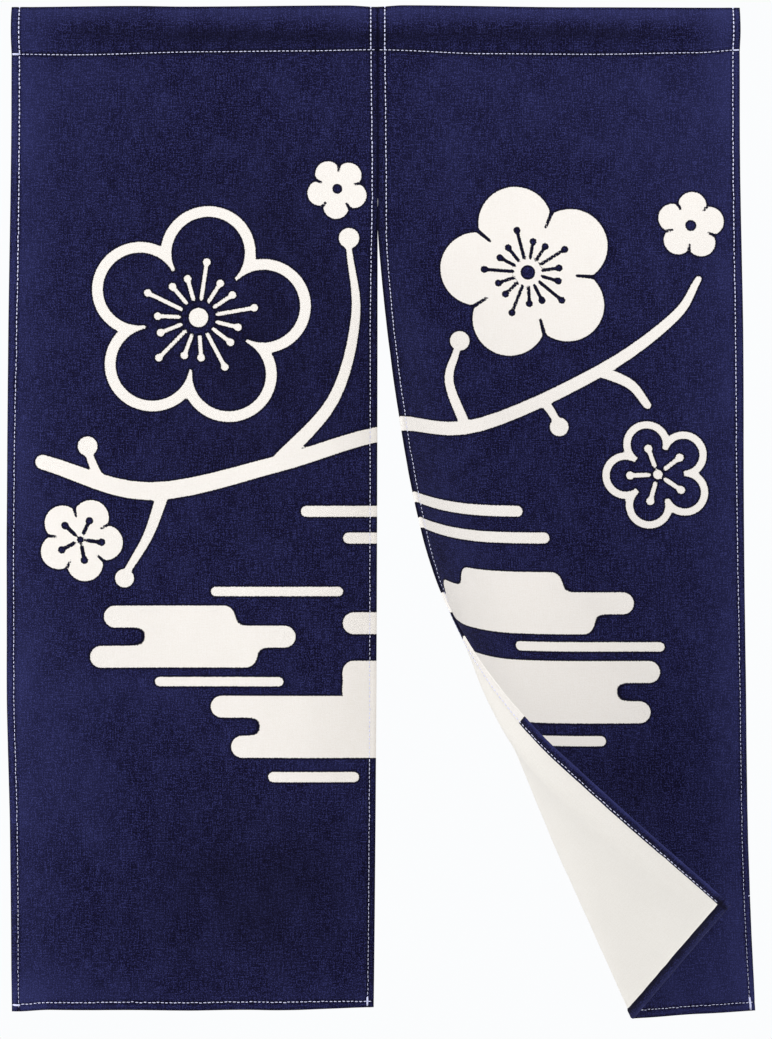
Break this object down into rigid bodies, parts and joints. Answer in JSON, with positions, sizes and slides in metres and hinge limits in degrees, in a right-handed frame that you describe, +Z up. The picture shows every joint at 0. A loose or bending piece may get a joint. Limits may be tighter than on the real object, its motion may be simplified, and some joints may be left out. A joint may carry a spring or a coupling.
{
  "type": "noren curtain",
  "caption": "Split doorway curtain of navy canvas with a sewn rod sleeve, one lower corner turned over to show its cream back.",
  "frame": {"origin": "middle of the top edge of the rod sleeve, in the plane between the sleeve's front and back layers", "axes": "+Z up, +Y from the printed front to the back, +X to the right seen from the front"},
  "size_m": [0.8965, 0.284, 1.2052],
  "materials": {
    "canvas": "printed cotton-linen canvas, matte, navy front and cream back",
    "thread": "white polyester sewing thread, slight sheen"
  },
  "bodies": {
    "root": {"panel_left": "canvas", "panel_right": "canvas", "heading_left": "canvas", "heading_right": "canvas"}
  },
  "joints": []
}
